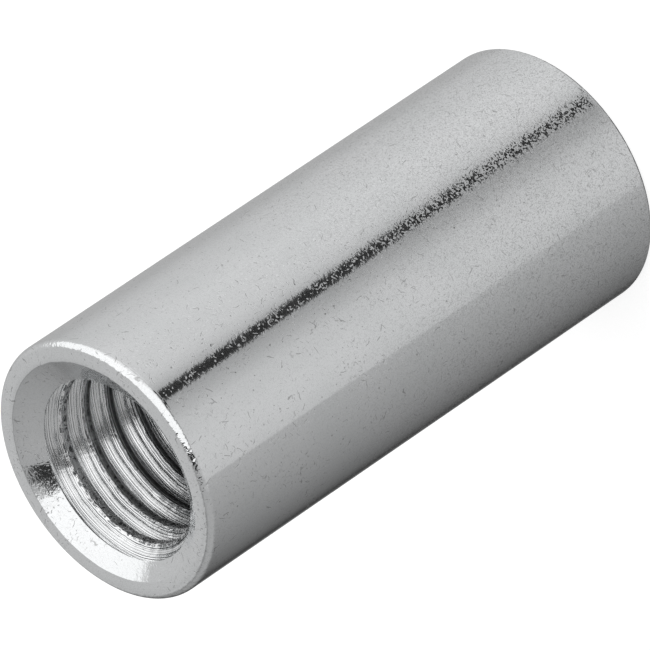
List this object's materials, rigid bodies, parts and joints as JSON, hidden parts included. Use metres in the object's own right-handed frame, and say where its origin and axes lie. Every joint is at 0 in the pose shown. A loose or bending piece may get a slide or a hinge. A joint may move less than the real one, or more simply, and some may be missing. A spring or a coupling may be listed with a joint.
{
  "type": "coupling nut",
  "caption": "Round coupling nut: a plain turned sleeve threaded right through, with a wide countersink and a rounded edge at each end, for joining threaded rods end to end.",
  "frame": {"origin": "centre of the end face that the sleeve stands on, on the thread's axis", "axes": "+Z along the thread's axis, out of the other end; the sleeve is the same either way up, and +X only fixes where the thread starts"},
  "size_m": [0.013, 0.013, 0.03],
  "materials": {
    "zinc_plated_steel": "bright zinc plate over a turned surface, with fine pits and handling scratches"
  },
  "bodies": {
    "root": {"coupling_sleeve": "zinc_plated_steel"}
  },
  "joints": []
}
